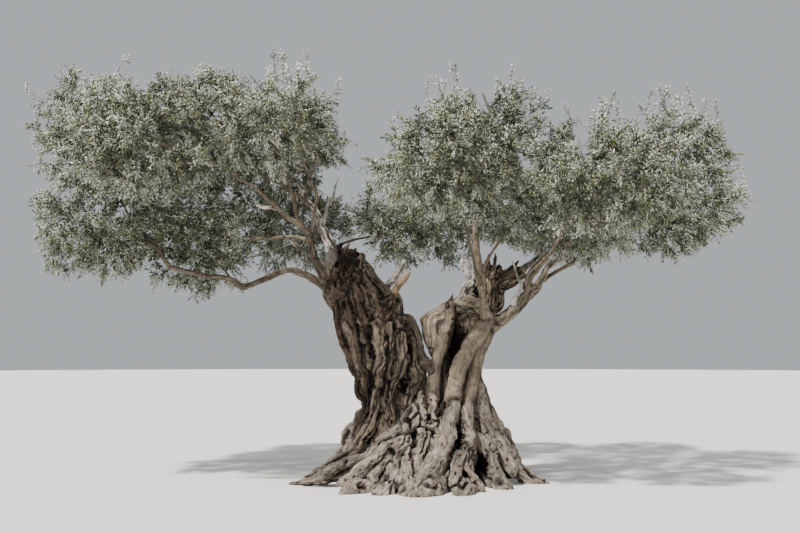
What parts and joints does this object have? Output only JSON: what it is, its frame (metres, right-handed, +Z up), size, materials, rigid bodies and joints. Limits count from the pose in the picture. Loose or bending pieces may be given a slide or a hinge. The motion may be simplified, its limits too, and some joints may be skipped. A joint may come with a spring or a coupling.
{
  "type": "olive tree",
  "caption": "Ancient olive tree with a fluted, hollow trunk on spreading roots, crooked and dead boughs, and a wide, airy grey-green crown.",
  "frame": {"origin": "in the flat cut at ground level under the trunk, near its middle", "axes": "+Z up, +X to the right along the crown's longest side, +Y to the back, away from the picture's viewpoint"},
  "size_m": [8.5442, 5.5999, 5.0072],
  "materials": {
    "bark": "rough furrowed bark",
    "dead_wood": "bleached bare wood",
    "foliage": "small leathery leaves with pale undersides"
  },
  "bodies": {
    "root": {"trunk": "bark", "left_leader": "bark", "right_leader": "bark", "middle_stem": "bark", "folded_stub": "dead_wood", "bark_strip": "bark", "sawn_stub": "bark", "grey_stub": "dead_wood", "low_left_bough": "bark", "low_left_outer": "bark", "low_left_upper": "bark", "low_left_inner": "bark", "left_fork_bough": "bark", "left_mid_bough": "bark", "left_front_bough": "bark", "sawn_spur": "dead_wood", "left_upright_bough": "bark", "left_near_bough": "bark", "pale_bough": "dead_wood", "pale_spur": "dead_wood", "left_high_bough": "bark", "left_back_bough": "dead_wood", "centre_left_bough": "bark", "upright_stem": "bark", "right_arm": "bark", "right_arm_tip": "bark", "right_long_bough": "bark", "right_front_bough": "bark", "right_back_bough": "dead_wood", "right_high_bough": "bark", "right_far_top_bough": "bark", "pale_stub_bough": "dead_wood", "centre_low_bough": "bark", "centre_front_bough": "bark", "foliage_low_left": "foliage", "foliage_left_hanging": "foliage", "foliage_far_left": "foliage", "foliage_left_front": "foliage", "foliage_left_back": "foliage", "foliage_left_top": "foliage", "foliage_left_top_back": "foliage", "foliage_left_low_back": "foliage", "foliage_upper_left": "foliage", "foliage_upper_front": "foliage", "foliage_centre_left": "foliage", "foliage_centre_top": "foliage", "foliage_right_low": "foliage", "foliage_far_right": "foliage", "foliage_right_front": "foliage", "foliage_right_back": "foliage", "foliage_right_top": "foliage", "foliage_far_right_top": "foliage", "foliage_centre_back": "foliage", "foliage_centre_low": "foliage", "foliage_centre_front": "foliage"}
  },
  "joints": []
}
